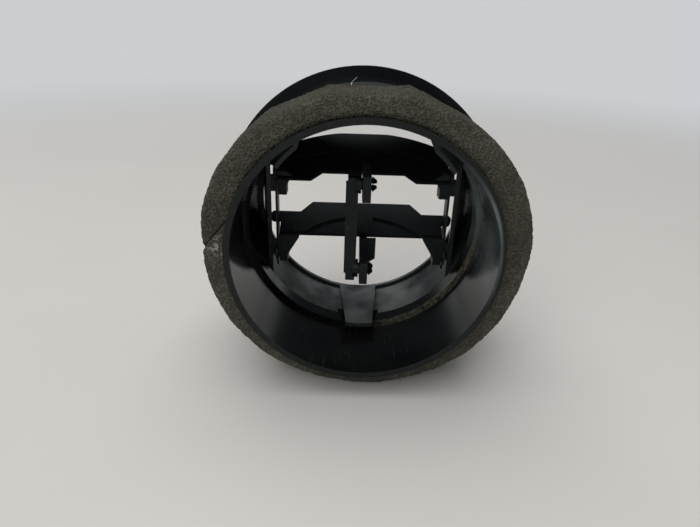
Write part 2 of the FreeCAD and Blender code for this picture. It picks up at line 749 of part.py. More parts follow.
# Where the lower blade's rear edge lies at rest, from its pivot
lower_edge_back = S.lower_offset * tilt_sin - S.lower_rear * tilt_cos
lower_edge_top = S.lower_offset * tilt_cos + S.lower_rear * tilt_sin
lower_tab = ear_outer - S.lower_tab_inset
lower_tab_foot = ear_outer - S.lower_foot_inset
lower_half_width = ear_outer + S.wing_reach
lower_blade = blade("lower_blade", [
    (-lower_tab, -S.blade_chord),
    (lower_tab, -S.blade_chord),
    (lower_tab_foot, -S.lower_shoulder),
    (lower_half_width, -S.lower_shoulder),
    (lower_half_width, -S.lower_wing),
    (ear_outer, -S.lower_wing),
    (ear_outer, -S.lower_rear),
    (-ear_outer, -S.lower_rear),
    (-ear_outer, -S.lower_wing),
    (-lower_half_width, -S.lower_wing),
    (-lower_half_width, -S.lower_shoulder),
    (-lower_tab_foot, -S.lower_shoulder),
], {3: S.wing_bulge, 9: S.wing_bulge, 0: S.edge_round},
    S.lower_offset, S.lower_scoop, S.lower_scoop - S.lower_scoop_top, -S.lower_rear)
lower_ears = ears("lower", [
    (ear_inner - S.lower_gusset, lower_edge_top),
    (ear_inner, 0),
    (ear_inner, -S.lower_ear_drop),
    (ear_outer, -S.lower_ear_drop),
    (ear_outer, lower_edge_top + web_half),
    (ear_inner - S.lower_gusset, lower_edge_top + web_half),
])
lower_arm = arm("lower", [
    (lower_edge_back - arm_round, lower_edge_top),
    (0, lower_edge_top / 2),
    (S.arm_reach - arm_round, -S.lower_arm_drop),
    (S.arm_reach + arm_round, -S.lower_arm_drop),
    (S.arm_reach + arm_round, arm_round),
    (0, lower_edge_top),
])
lower_web = slab("lower_web", [
    (-S.arm_right + web_half, lower_edge_top),
    (-S.arm_right - S.web_width, lower_edge_top),
    (-S.arm_right - S.web_width, -S.web_drop_outer),
    (-S.arm_right + web_half, -S.web_drop),
], S.web_wall, S.web_wall * 2)
vane_lower = vane("vane_lower",
                  [lower_blade] + lower_ears + [lower_arm, lower_web] + pivot_pins("lower"),
                  -S.pivot_height)

# Link bar: it ties the two arms together with split snap pins

link_near = S.arm_left + S.link_play + S.link_collar
link_far = link_near + S.link_width
link_half_depth = S.link_depth / 2
link_back = S.pivot_depth + S.arm_reach
link_bottom = -S.pivot_height - S.link_foot
link_top = S.pivot_height + S.link_head
pin_tip = S.arm_right + S.link_barb_length


def upright(name, low, high, near, far, rounding):
    """An upright run of the bar with rounded ends."""
    return prism(name, "side", [
        (link_back - link_half_depth, low),
        (link_back + link_half_depth, low),
        (link_back + link_half_depth, high),
        (link_back - link_half_depth, high),
    ], near, far, {0: rounding, 2: rounding})


link_run = upright("link_run", link_bottom, link_top, link_near, link_far, S.edge_round)
link_tabs = upright("link_tabs", link_bottom - S.link_foot_tab, link_top + S.link_head_tab,
                    link_near + S.link_tab_inset / 2, link_far - S.link_tab_inset, S.link_tab_inset)


def link_pin(word, height):
    """One split pin with a collar and a barbed tip."""
    name = "link_pin_" + word
    shaft = rod(name + "_shaft", S.link_pin_radius, -pin_tip, pin_tip + link_near + S.tool_reach,
                link_back, height)
    collar = rod(name + "_collar", S.link_pin_radius + S.link_barb * 2,
                 link_near - S.link_collar, S.link_collar + S.tool_reach, link_back, height)
    tip = doc.addObject("Part::Cone", name + "_barb")
    bind(tip, "Radius1", S.link_pin_radius - S.link_barb)
    bind(tip, "Radius2", S.link_pin_radius + S.link_barb)
    bind(tip, "Height", S.link_barb_length - S.ear_play)
    tip.Placement = FreeCAD.Placement(
        FreeCAD.Vector(0, 0, 0), FreeCAD.Rotation(FreeCAD.Vector(0, 1, 0), 90))
    bind(tip, "Placement.Base.x", -pin_tip)
    bind(tip, "Placement.Base.y", link_back)
    bind(tip, "Placement.Base.z", height)
    cone_end = block(name + "_trim",
                     (-pin_tip - S.tool_reach, link_back - S.link_barb * 8, height - S.link_barb * 8),
                     (-S.arm_right - S.ear_play, link_back + S.link_barb * 8, height + S.link_barb * 8))
    slim = cut(name + "_slim", shaft, cone_end)
    split = block(name + "_split",
                  (-pin_tip - S.tool_reach, link_back - S.link_depth * 2, height - S.link_slot / 2),
                  (S.arm_left, link_back + S.link_depth * 2, height + S.link_slot / 2))
    return cut(name, fused(name + "_solid", [slim, collar, tip]), split)


link_bar = fused("link_bar", [link_run, link_tabs,
                              link_pin("upper", S.pivot_height),
                              link_pin("lower", -S.pivot_height)])

# Files

os.makedirs("parts", exist_ok=True)
NODES = {
    "housing": housing,
    "bezel_ring": bezel_ring,
    "foam_seal": foam_seal,
    "drum": drum,
    "felt_band": felt_band,
    "bearing_strip_left": bearing_strip_left,
    "bearing_strip_right": bearing_strip_right,
    "vane_upper": vane_upper,
    "vane_lower": vane_lower,
    "link_bar": link_bar,
}
for label, item in NODES.items():
    item.Label = label
doc.recompute()
for item in doc.Objects:
    if "Invalid" in item.State or "Error" in item.State:
        raise RuntimeError("failed: %s %s" % (item.Name, item.State))
for label, item in NODES.items():
    if item.Shape.isNull() or not item.Shape.isValid():
        raise RuntimeError("no valid shape: " + label)
    print(label, len(item.Shape.Solids), "%.0f" % item.Shape.Volume)
    item.Shape.exportStep("parts/%s.step" % label)
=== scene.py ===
import math

import bmesh
import bpy
from mathutils import Matrix, Vector


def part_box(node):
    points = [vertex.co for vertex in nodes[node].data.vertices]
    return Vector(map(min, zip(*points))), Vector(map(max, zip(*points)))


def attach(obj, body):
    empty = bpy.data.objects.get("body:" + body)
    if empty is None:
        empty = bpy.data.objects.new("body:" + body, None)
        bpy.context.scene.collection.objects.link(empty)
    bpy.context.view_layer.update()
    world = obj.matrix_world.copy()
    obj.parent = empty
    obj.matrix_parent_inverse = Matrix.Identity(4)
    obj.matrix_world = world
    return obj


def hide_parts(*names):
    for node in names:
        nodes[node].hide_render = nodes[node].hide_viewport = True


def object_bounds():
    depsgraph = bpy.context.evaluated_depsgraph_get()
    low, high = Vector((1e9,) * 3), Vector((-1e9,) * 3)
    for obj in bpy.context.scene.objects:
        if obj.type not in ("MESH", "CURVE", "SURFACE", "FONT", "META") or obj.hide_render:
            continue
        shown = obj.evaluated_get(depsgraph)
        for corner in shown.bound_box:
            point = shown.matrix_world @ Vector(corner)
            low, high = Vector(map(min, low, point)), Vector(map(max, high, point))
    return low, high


# The whole vent as it left the CAD: a moulded housing with a duct stub, a
# bezel ring, and a drum with two linked vanes. Metres, the front faces -Y.
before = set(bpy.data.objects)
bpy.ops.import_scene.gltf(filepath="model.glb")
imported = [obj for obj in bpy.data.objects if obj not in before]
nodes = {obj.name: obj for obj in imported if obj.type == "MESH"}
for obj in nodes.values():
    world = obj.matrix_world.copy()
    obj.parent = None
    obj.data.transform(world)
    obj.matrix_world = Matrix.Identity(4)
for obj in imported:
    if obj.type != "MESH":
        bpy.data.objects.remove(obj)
cad_low, cad_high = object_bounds()
MM = 0.001
FLOAT, VECTOR = "NodeSocketFloat", "NodeSocketVector"


def new_group(name, inputs, outputs):
    """A shader node group with named sockets, its input and its output node."""
    group = bpy.data.node_groups.new(name, "ShaderNodeTree")
    for label, kind, value in inputs:
        made = group.interface.new_socket(label, in_out="INPUT", socket_type=kind)
        if value is not None:
            made.default_value = value
    for label, kind in outputs:
        group.interface.new_socket(label, in_out="OUTPUT", socket_type=kind)
    return group, group.nodes.new("NodeGroupInput"), group.nodes.new("NodeGroupOutput")


def put(tree, kind, label, values=None, **settings):
    """A node with a label, its settings and the values of its inputs."""
    node = tree.nodes.new(kind)
    node.label = label
    for word, value in settings.items():
        setattr(node, word, value)
    for socket, value in (values or {}).items():
        node.inputs[socket].default_value = value
    return node


def ramp(tree, label, low, high, curve="SMOOTHSTEP"):
    """Zero at low, one at high."""
    return put(tree, "ShaderNodeMapRange", label,
               {"From Min": low, "From Max": high, "To Min": 0.0, "To Max": 1.0},
               interpolation_type=curve)


def spread(tree, label, source, low, high, curve="SMOOTHSTEP"):
    """A mask that rises as the source goes from low to high."""
    node = ramp(tree, label, low, high, curve)
    tree.links.new(source, node.inputs["Value"])
    return node.outputs["Result"]


def noise(tree, label, place, scale, detail, **more):
    """Soft noise at a place, its scale per metre."""
    node = put(tree, "ShaderNodeTexNoise", label, {"Scale": scale, "Detail": detail, **more})
    tree.links.new(place, node.inputs["Vector"])
    return node.outputs["Fac"]


def joined(tree, label, operation, first, *others):
    """Values or masks taken together one by one with a maths operation."""
    for other in others:
        node = put(tree, "ShaderNodeMath", label, operation=operation)
        tree.links.new(first, node.inputs[0])
        tree.links.new(other, node.inputs[1])
        first = node.outputs[0]
    return first


def parts_of(tree, label, vector):
    """The three numbers of a vector."""
    node = put(tree, "ShaderNodeSeparateXYZ", label)
    tree.links.new(vector, node.inputs[0])
    return node.outputs


def blend(tree, label, low, high, mask):
    """A colour that goes from one to another as the mask rises."""
    node = put(tree, "ShaderNodeMix", label, {"A": low, "B": high}, data_type="RGBA")
    tree.links.new(mask, node.inputs["Factor"])
    return node.outputs["Result"]


def paint(tree, label, under, colour, mask):
    """A colour laid over another where the mask shows."""
    node = put(tree, "ShaderNodeMix", label, {"B": colour}, data_type="RGBA")
    tree.links.new(mask, node.inputs["Factor"])
    tree.links.new(under, node.inputs["A"])
    return node.outputs["Result"]


# Fine grain of a spark-eroded mould, as a height
grain_group, grain_in, grain_out = new_group(
    "mould_grain", [("Place", VECTOR, None), ("Scale", FLOAT, 2500.0)], [("Height", FLOAT)])
grain_noise = put(grain_group, "ShaderNodeTexNoise", "grain", {"Detail": 3.0, "Roughness": 0.6})
grain_link = grain_group.links.new
grain_link(grain_in.outputs["Place"], grain_noise.inputs["Vector"])
grain_link(grain_in.outputs["Scale"], grain_noise.inputs["Scale"])
grain_link(grain_noise.outputs["Fac"], grain_out.inputs["Height"])

# Long thin scratches in three directions, as a mask
SCRATCH_TURNS = ((0.3, 0.2, 0.4), (1.2, 0.9, 0.1), (0.1, 1.3, 2.1))
SCRATCH_STRETCH = (2200.0, 60.0, 300.0)
scratch_group, scratch_in, scratch_out = new_group(
    "scratches", [("Place", VECTOR, None), ("Amount", FLOAT, 1.0)], [("Mask", FLOAT)])
scratch_link = scratch_group.links.new
thin_lines = []
for turn in SCRATCH_TURNS:
    place = put(scratch_group, "ShaderNodeMapping", "direction",
                {"Rotation": turn, "Scale": SCRATCH_STRETCH})
    scratch_link(scratch_in.outputs["Place"], place.inputs["Vector"])
    streaks = noise(scratch_group, "streaks", place.outputs["Vector"], 1.0, 1.0)
    thin_lines.append(spread(scratch_group, "thin lines", streaks, 0.72, 0.78))
any_line = joined(scratch_group, "either", "MAXIMUM", *thin_lines)
scratch_link(joined(scratch_group, "amount", "MULTIPLY", any_line, scratch_in.outputs["Amount"]),
             scratch_out.inputs["Mask"])

# Dust: specks everywhere and a film on what faces up, as a mask
dust_group, dust_in, dust_out = new_group(
    "settled_dust",
    [("Place", VECTOR, None), ("Facing", VECTOR, None), ("Film", FLOAT, 0.3), ("Specks", FLOAT, 0.4)],
    [("Mask", FLOAT)])
dust_place = dust_in.outputs["Place"]
facing = parts_of(dust_group, "facing", dust_in.outputs["Facing"])
film_mask = joined(
    dust_group, "film", "MULTIPLY", spread(dust_group, "faces up", facing["Z"], 0.25, 1.0),
    spread(dust_group, "patch edge", noise(dust_group, "patches", dust_place, 90.0, 6.0), 0.2, 0.8),
    dust_in.outputs["Film"])
speck_mask = joined(
    dust_group, "specks", "MULTIPLY",
    spread(dust_group, "speck edge", noise(dust_group, "specks", dust_place, 1400.0, 2.0), 0.68, 0.74),
    dust_in.outputs["Specks"])
dust_mask = joined(dust_group, "dust", "ADD", film_mask, speck_mask)
dust_mask.node.use_clamp = True
dust_group.links.new(dust_mask, dust_out.inputs["Mask"])

# A thin straight mark, where across + slope x along + offset is near zero
line_group, line_in, line_out = new_group(
    "straight_mark",
    [("Across", FLOAT, None), ("Along", FLOAT, None), ("Slope", FLOAT, 1.0), ("Offset", FLOAT, 0.0),
     ("Edge", FLOAT, 0.5 * MM), ("Core", FLOAT, 0.1 * MM)],
    [("Mask", FLOAT)])
line_link = line_group.links.new
line_run = put(line_group, "ShaderNodeMath", "slope and offset", operation="MULTIPLY_ADD")
for number, label in enumerate(("Along", "Slope", "Offset")):
    line_link(line_in.outputs[label], line_run.inputs[number])
line_off = joined(line_group, "off the line", "ADD", line_run.outputs[0], line_in.outputs["Across"])
line_side = put(line_group, "ShaderNodeMath", "either side", operation="ABSOLUTE")
line_thin = ramp(line_group, "thin", 0.5 * MM, 0.1 * MM, "LINEAR")
line_link(line_off, line_side.inputs[0])
line_link(line_side.outputs[0], line_thin.inputs["Value"])
line_link(line_in.outputs["Edge"], line_thin.inputs["From Min"])
line_link(line_in.outputs["Core"], line_thin.inputs["From Max"])
line_link(line_thin.outputs["Result"], line_out.inputs["Mask"])

# All the mouldings: how strongly and in what tint they reflect, how uneven
# their tone and sheen are, how pale a scratch is beside the dust, the relief
# of the grain and of the scratches in it, and up to what angle two faces
# are shaded as one round.
REFLECTION, REFLECTION_TINT = 0.28, (0.9, 0.985, 1.0, 1)
DARK_PATCH, PALE_PATCH, SCRATCH_SHARE = 0.7, 1.35, 0.35
POLISHED, WORN, DUST_ROUGHNESS = 0.07, 0.1, 0.85
SCRATCH_CUT, RELIEF, RELIEF_DEPTH = -0.6, 0.2, 0.03 * MM
SMOOTH_UP_TO = math.radians(32)


def moulded_plastic(name, black, dust, roughness, grain, scratches, film, specks):
    """A moulded plastic: its colour and sheen, the grain's fineness per
    metre, and how much scratches, dust film and dust specks show."""
    material = bpy.data.materials.new(name)
    material.use_nodes = True
    tree = material.node_tree
    link = tree.links.new
    shader = tree.nodes["Principled BSDF"]
    shader.inputs["Specular IOR Level"].default_value = REFLECTION
    shader.inputs["Specular Tint"].default_value = REFLECTION_TINT
    spot = put(tree, "ShaderNodeTexCoord", "place").outputs
    grain_at = put(tree, "ShaderNodeGroup", "grain", {"Scale": grain}, node_tree=grain_group)
    scratch_at = put(tree, "ShaderNodeGroup", "scratches", {"Amount": scratches},
                     node_tree=scratch_group)
    dust_at = put(tree, "ShaderNodeGroup", "dust", {"Film": film, "Specks": specks},
                  node_tree=dust_group)
    for node in (grain_at, scratch_at, dust_at):
        link(spot["Object"], node.inputs["Place"])
    link(spot["Normal"], dust_at.inputs["Facing"])
    scratched, dusted = scratch_at.outputs["Mask"], dust_at.outputs["Mask"]

    tone = noise(tree, "uneven tone", spot["Object"], 55.0, 4.0)
    shades = [(*[channel * patch for channel in black], 1) for patch in (DARK_PATCH, PALE_PATCH)]
    scratch_colour = (*[channel * SCRATCH_SHARE for channel in dust], 1)
    scuffed = paint(tree, "scratched", blend(tree, "tone", *shades, tone), scratch_colour, scratched)
    link(paint(tree, "dusty", scuffed, (*dust, 1), dusted), shader.inputs["Base Color"])

    worn = put(tree, "ShaderNodeMapRange", "worn sheen",
               {"To Min": roughness - POLISHED, "To Max": roughness + WORN})
    link(tone, worn.inputs["Value"])
    rough = put(tree, "ShaderNodeMix", "rougher where dusty", {"B": DUST_ROUGHNESS}, data_type="FLOAT")
    link(dusted, rough.inputs["Factor"])
    link(worn.outputs["Result"], rough.inputs["A"])
    link(rough.outputs["Result"], shader.inputs["Roughness"])

    cut = put(tree, "ShaderNodeMath", "scratches cut in", {1: SCRATCH_CUT}, operation="MULTIPLY_ADD")
    link(scratched, cut.inputs[0])
    link(grain_at.outputs["Height"], cut.inputs[2])
    bump = put(tree, "ShaderNodeBump", "bump", {"Strength": RELIEF, "Distance": RELIEF_DEPTH})
    link(cut.outputs[0], bump.inputs["Height"])
    link(bump.outputs["Normal"], shader.inputs["Normal"])
    return material


def finish_node(name, material):
    """Gives a CAD node its material and shades its rounds smooth."""
    node = nodes[name]
    node.data.materials.clear()
    node.data.materials.append(material)
    bpy.ops.object.select_all(action="DESELECT")
    node.select_set(True)
    bpy.context.view_layer.objects.active = node
    bpy.ops.object.shade_smooth_by_angle(angle=SMOOTH_UP_TO)


# Housing: one black polypropylene moulding, duct stub, ledge and barrel.
# It came out of a used car, so its satin skin has handling scratches and
# dust, beside the grain that all the mouldings have.
PALE_DUST = (0.22, 0.215, 0.18)
housing_plastic = moulded_plastic(
    "satin_black_polypropylene", black=(0.003, 0.0035, 0.004), dust=PALE_DUST, roughness=0.16,
    grain=2800.0, scratches=0.3, film=0.02, specks=0.14)
finish_node("housing", housing_plastic)

# Beige dirt has settled in the corner behind the ledge, on the photograph's
# lower right, pale light streaks reflected on the duct's right wall are
# painted on as a haze, and one long scratch crosses the top of the barrel.
BORE_RADIUS = 40 * MM
LEDGE_CORNER, DIRT_EDGE, DIRT_CORE = 18.5 * MM, 1.7 * MM, 0.1 * MM
SCRATCH_X, SCRATCH_Y, SCRATCH_SLANT = 3.7 * MM, 3.3 * MM, 0.14
DIRT, PAINTED_REFLECTION, SCRATCH = (0.13, 0.12, 0.085, 1), (0.14, 0.165, 0.165, 1), (0.5, 0.5, 0.52, 1)
housing_tree = housing_plastic.node_tree
housing_link = housing_tree.links.new
housing_colour = housing_tree.nodes["Principled BSDF"].inputs["Base Color"]
housing_spot = put(housing_tree, "ShaderNodeTexCoord", "place").outputs["Object"]
place_x, place_y, place_z = parts_of(housing_tree, "place parts", housing_spot)

flat_place = put(housing_tree, "ShaderNodeVectorMath", "across the axis",
                 {1: (1, 0, 1)}, operation="MULTIPLY")
from_axis = put(housing_tree, "ShaderNodeVectorMath", "from the axis", operation="LENGTH")
housing_link(housing_spot, flat_place.inputs[0])
housing_link(flat_place.outputs["Vector"], from_axis.inputs[0])
radius = from_axis.outputs["Value"]
sideways = joined(housing_tree, "how far left", "DIVIDE", place_x, radius)
# Painted reflection: a pale haze on the duct's right wall stands in for reflected light streaks.
reflection_streak_noise = noise(housing_tree, "haze", housing_spot, 45.0, 4.0)
painted_reflection_mask = joined(
    housing_tree, "painted reflection mask", "MULTIPLY",
    spread(housing_tree, "towards the right wall", sideways, -0.5, -0.95),
    spread(housing_tree, "inside the duct", radius,
           BORE_RADIUS + 1.2 * MM, BORE_RADIUS + 0.6 * MM, "LINEAR"),
    spread(housing_tree, "above the floor's reflection", place_z, -16 * MM, -6 * MM),
    spread(housing_tree, "reflection streak patches", reflection_streak_noise, 0.2, 0.65))
clean = housing_colour.links[0].from_socket
with_painted_reflection = paint(housing_tree, "painted reflection on the duct wall", clean, PAINTED_REFLECTION, painted_reflection_mask)

from_corner = put(housing_tree, "ShaderNodeMath", "from the corner",
                  {1: -LEDGE_CORNER}, operation="ADD")
corner_side = put(housing_tree, "ShaderNodeMath", "either side", operation="ABSOLUTE")
housing_link(place_y, from_corner.inputs[0])
housing_link(from_corner.outputs[0], corner_side.inputs[0])
dirt_noise = noise(housing_tree, "dirt crumbs", housing_spot, 700.0, 6.0)
dirt_mask = joined(
    housing_tree, "dirt mask", "MULTIPLY",
    spread(housing_tree, "right side", place_x, 2 * MM, -18 * MM),
    spread(housing_tree, "lower half", place_z, 2 * MM, -10 * MM),
    spread(housing_tree, "dirt band", corner_side.outputs[0], DIRT_EDGE, DIRT_CORE),
    spread(housing_tree, "crumbs", dirt_noise, 0.22, 0.76))
dirty = paint(housing_tree, "dirt on the ledge", with_painted_reflection, DIRT, dirt_mask)

long_scratch = put(housing_tree, "ShaderNodeGroup", "long scratch",
                   {"Slope": -SCRATCH_SLANT, "Offset": SCRATCH_SLANT * SCRATCH_Y - SCRATCH_X,
                    "Edge": 0.22 * MM, "Core": 0.06 * MM}, node_tree=line_group)
housing_link(place_x, long_scratch.inputs["Across"])
housing_link(place_y, long_scratch.inputs["Along"])
scratch_mask = joined(
    housing_tree, "scratch on the barrel", "MULTIPLY", long_scratch.outputs["Mask"],
    spread(housing_tree, "top only", place_z, 43 * MM, 44 * MM))
housing_link(paint(housing_tree, "white scratch", dirty, SCRATCH, scratch_mask), housing_colour)

# Bezel ring: the visible flange and dome, moulded apart in a like black with
# a finer, duller skin, and pushed onto the barrel's spigot.
bezel_plastic = moulded_plastic(
    "fine_satin_black", black=(0.005, 0.0055, 0.0065), dust=PALE_DUST, roughness=0.34,
    grain=3000.0, scratches=0.3, film=0.02, specks=0.12)
finish_node("bezel_ring", bezel_plastic)

# Foam seal: a strip of grey-brown open-cell foam wrapped round the duct and
# butted at its ends. Its skin is torn in places and its cells show.
FOAM_FACE, FOAM_LUMP, FOAM_PORE = 0.5 * MM, 16 * MM, 0.9 * MM
SMOOTH_PASSES = 6


def soft_copy(node, name, face_size):
    """A copy of a soft CAD solid as an even, smooth skin of small faces."""
    mesh = nodes[node].data.copy()
    mesh.materials.clear()
    copy = bpy.data.objects.new(name, mesh)
    bpy.context.scene.collection.objects.link(copy)
    merged = bmesh.new()
    merged.from_mesh(mesh)
    bmesh.ops.remove_doubles(merged, verts=merged.verts, dist=0.01 * MM)
    bmesh.ops.recalc_face_normals(merged, faces=merged.faces)
    merged.to_mesh(mesh)
    merged.free()
    bpy.ops.object.select_all(action="DESELECT")
    copy.select_set(True)
    bpy.context.view_layer.objects.active = copy
    remesh = copy.modifiers.new("even skin", "REMESH")
    remesh.mode = "VOXEL"
    remesh.voxel_size = face_size
    bpy.ops.object.modifier_apply(modifier=remesh.name)
    smooth = copy.modifiers.new("soft edges", "SMOOTH")
    smooth.iterations = SMOOTH_PASSES
    bpy.ops.object.modifier_apply(modifier=smooth.name)
    return copy


def swell(piece, name, scale, depth, strength, level=0.5):
    """Lumps or cells of the given size pushed out along the normals. A low
    level swells the whole piece."""
    texture = bpy.data.textures.new(name, "CLOUDS")
    texture.noise_scale = scale
    texture.noise_depth = depth
    push = piece.modifiers.new(name, "DISPLACE")
    push.texture = texture
    push.texture_coords = "LOCAL"
    push.strength = strength
    push.mid_level = level
    bpy.ops.object.modifier_apply(modifier=push.name)


foam = soft_copy("foam_seal", "foam_strip", FOAM_FACE)

# Over the top the strip is stretched back until it meets the duct's rim
FOAM_STRETCH = 5.8 * MM
foam_low, foam_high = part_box("foam_seal")
for vertex in foam.data.vertices:
    back = (vertex.co.y - foam_low.y) / (foam_high.y - foam_low.y)
    height = max(0.0, vertex.co.z / foam_high.z)
    vertex.co.y += FOAM_STRETCH * back * math.sin(height * math.pi / 2)

# Where the strip's ends butt, on the photograph's left, there is a slanted
# slit with glue beside it. A nib is torn up at each side.
SEAM_PLACE, SEAM_SLANT = Vector((46.5 * MM, 0, 3.4 * MM)), 1.2
SEAM_HALF, SEAM_DEPTH, SEAM_SIDE = 0.7 * MM, 0.7 * MM, 38 * MM
NIB_WIDTH = 1.8 * MM
NIBS = ((Vector((47, 38, 10.5)) * MM, 1.9 * MM), (Vector((-45, 38, 18.4)) * MM, 1.4 * MM))
normals = [vertex.normal.copy() for vertex in foam.data.vertices]
for vertex, normal in zip(foam.data.vertices, normals):
    rise = 0.0
    if vertex.co.x > SEAM_SIDE:
        aside = (vertex.co.z - SEAM_PLACE.z + SEAM_SLANT * (vertex.co.x - SEAM_PLACE.x)) / SEAM_HALF
        rise -= SEAM_DEPTH * math.exp(-aside * aside)
    for nib_place, nib_height in NIBS:
        away = (vertex.co - nib_place).length / NIB_WIDTH
        rise += nib_height * math.exp(-away * away)
    vertex.co += normal * rise

# Thumb-sized lumps and then the open cells
swell(foam, "foam_lumps", FOAM_LUMP, depth=2, strength=1.4 * MM, level=0.2)
swell(foam, "foam_cells", FOAM_PORE, depth=1, strength=0.55 * MM)
for face in foam.data.polygons:
    face.use_smooth = True

foam_material = bpy.data.materials.new("open_cell_foam")
foam_material.use_nodes = True
foam_tree = foam_material.node_tree
foam_link = foam_tree.links.new
foam_shader = foam_tree.nodes["Principled BSDF"]
foam_shader.inputs["Roughness"].default_value = 0.95
foam_shader.inputs["Specular IOR Level"].default_value = 0.15
foam_spot = put(foam_tree, "ShaderNodeTexCoord", "place").outputs["Object"]
foam_cells = put(foam_tree, "ShaderNodeTexVoronoi", "cells", {"Scale": 1500.0, "Randomness": 1.0})
foam_link(foam_spot, foam_cells.inputs["Vector"])
foam_walls = spread(foam_tree, "cell walls", foam_cells.outputs["Distance"], 0.15, 0.75)
foam_tone = blend(
    foam_tree, "patchy colour", (0.046, 0.047, 0.037, 1), (0.122, 0.119, 0.096, 1),
    noise(foam_tree, "patches", foam_spot, 130.0, 8.0))
# Painted shade: the cell pits are darkened and the cell walls lightened, as light falls into open
# cells.
foam_shade = blend(foam_tree, "cell shade", (0.62, 0.61, 0.59, 1), (1.15, 1.13, 1.10, 1), foam_walls)
foam_shaded_pits = put(foam_tree, "ShaderNodeMix", "painted shade in the cells", {"Factor": 0.85},
                data_type="RGBA", blend_type="MULTIPLY")
foam_link(foam_tone, foam_shaded_pits.inputs["A"])
foam_link(foam_shade, foam_shaded_pits.inputs["B"])

GLUE_PLACE, GLUE_REACH, GLUE_CORE = (44.5 * MM, 41 * MM, 0.6 * MM), 5 * MM, 1 * MM
GLUE, SEAM_SHADE = (0.42, 0.41, 0.38, 1), (0.022, 0.022, 0.018, 1)
glue_from = put(foam_tree, "ShaderNodeVectorMath", "from the glue",
                {1: GLUE_PLACE}, operation="DISTANCE")
foam_link(foam_spot, glue_from.inputs[0])
glue_mask = joined(
    foam_tree, "glue mask", "MULTIPLY",
    spread(foam_tree, "near the glue", glue_from.outputs["Value"], GLUE_REACH, GLUE_CORE),
    spread(foam_tree, "flakes", noise(foam_tree, "glue flakes", foam_spot, 700.0, 3.0), 0.5, 0.6))
glued = paint(foam_tree, "pale glue", foam_shaded_pits.outputs["Result"], GLUE, glue_mask)

# Painted shade: a dark line along the seam's slit stands in for the shade inside it.
foam_parts = parts_of(foam_tree, "place parts", foam_spot)
seam_line = put(foam_tree, "ShaderNodeGroup", "seam line",
                {"Slope": SEAM_SLANT, "Offset": -SEAM_SLANT * SEAM_PLACE.x - SEAM_PLACE.z,
                 "Edge": 0.55 * MM, "Core": 0.1 * MM}, node_tree=line_group)
foam_link(foam_parts["Z"], seam_line.inputs["Across"])
foam_link(foam_parts["X"], seam_line.inputs["Along"])
seam_mask = joined(foam_tree, "seam mask", "MULTIPLY", seam_line.outputs["Mask"],
                   spread(foam_tree, "on the left", foam_parts["X"], SEAM_SIDE, SEAM_SIDE + 0.5 * MM))
foam_link(paint(foam_tree, "painted shade in the seam", glued, SEAM_SHADE, seam_mask), foam_shader.inputs["Base Color"])
foam_bump = put(foam_tree, "ShaderNodeBump", "bump", {"Strength": 0.9, "Distance": 0.4 * MM})
foam_link(foam_walls, foam_bump.inputs["Height"])
foam_link(foam_bump.outputs["Normal"], foam_shader.inputs["Normal"])
foam.data.materials.append(foam_material)
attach(foam, "root")
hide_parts("foam_seal")

# Drum: the turning barrel, moulded in smooth black with three snap fingers
# that clip behind the housing's ledge. It is the dustiest piece.
drum_plastic = moulded_plastic(
    "smooth_black_drum", black=(0.018, 0.0215, 0.0215), dust=(0.27, 0.30, 0.29), roughness=0.2,
    grain=2600.0, scratches=0.3, film=0.75, specks=0.25)
finish_node("drum", drum_plastic)

# Felt band: a strip of black needle felt glued round the drum behind its
# collar. It gives the drum its drag, and its ends butt.
FELT_FACE, FELT_TUFT = 0.6 * MM, 1.0 * MM
felt = soft_copy("felt_band", "felt_wrap", FELT_FACE)
swell(felt, "felt_fuzz", FELT_TUFT, depth=2, strength=0.15 * MM)
felt_material = bpy.data.materials.new("black_needle_felt")
felt_material.use_nodes = True
felt_tree = felt_material.node_tree
felt_link = felt_tree.links.new
felt_shader = felt_tree.nodes["Principled BSDF"]
felt_shader.inputs["Roughness"].default_value = 1.0
felt_shader.inputs["Sheen Weight"].default_value = 0.3
felt_spot = put(felt_tree, "ShaderNodeTexCoord", "place").outputs["Object"]
felt_fibres = noise(felt_tree, "fibres", felt_spot, 1200.0, 5.0, Distortion=2.0)
felt_tone = blend(
    felt_tree, "fibre tone", (0.012, 0.012, 0.013, 1), (0.055, 0.054, 0.052, 1), felt_fibres)
felt_bump = put(felt_tree, "ShaderNodeBump", "bump", {"Strength": 0.6, "Distance": 0.2 * MM})
felt_link(felt_tone, felt_shader.inputs["Base Color"])
felt_link(felt_fibres, felt_bump.inputs["Height"])
felt_link(felt_bump.outputs["Normal"], felt_shader.inputs["Normal"])
felt.data.materials.append(felt_material)
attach(felt, "drum_body")
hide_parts("felt_band")

# Bearing strips: two thin black acetal bars that carry the vanes' pivots,
# pressed onto feet on the drum's cheeks.
strip_plastic = moulded_plastic(
    "matt_black_acetal", black=(0.012, 0.0125, 0.013), dust=PALE_DUST, roughness=0.42,
    grain=3200.0, scratches=0.2, film=0.06, specks=0.2)
finish_node("bearing_strip_left", strip_plastic)
finish_node("bearing_strip_right", strip_plastic)

# Vanes: two moulded blades with a fine matt grain and specks of dust, each
# with two pivot pins and an arm.
vane_plastic = moulded_plastic(
    "grained_black_vane", black=(0.006, 0.007, 0.0088), dust=PALE_DUST, roughness=0.5,
    grain=2200.0, scratches=0.3, film=0.008, specks=0.15)
finish_node("vane_upper", vane_plastic)
finish_node("vane_lower", vane_plastic)

# Link bar: a small satin acetal bar snapped into both arms with split pins,
# so that the vanes tilt together.
link_plastic = moulded_plastic(
    "satin_black_acetal", black=(0.002, 0.0027, 0.0037), dust=PALE_DUST, roughness=0.42,
    grain=3000.0, scratches=0.25, film=0.01, specks=0.2)
finish_node("link_bar", link_plastic)

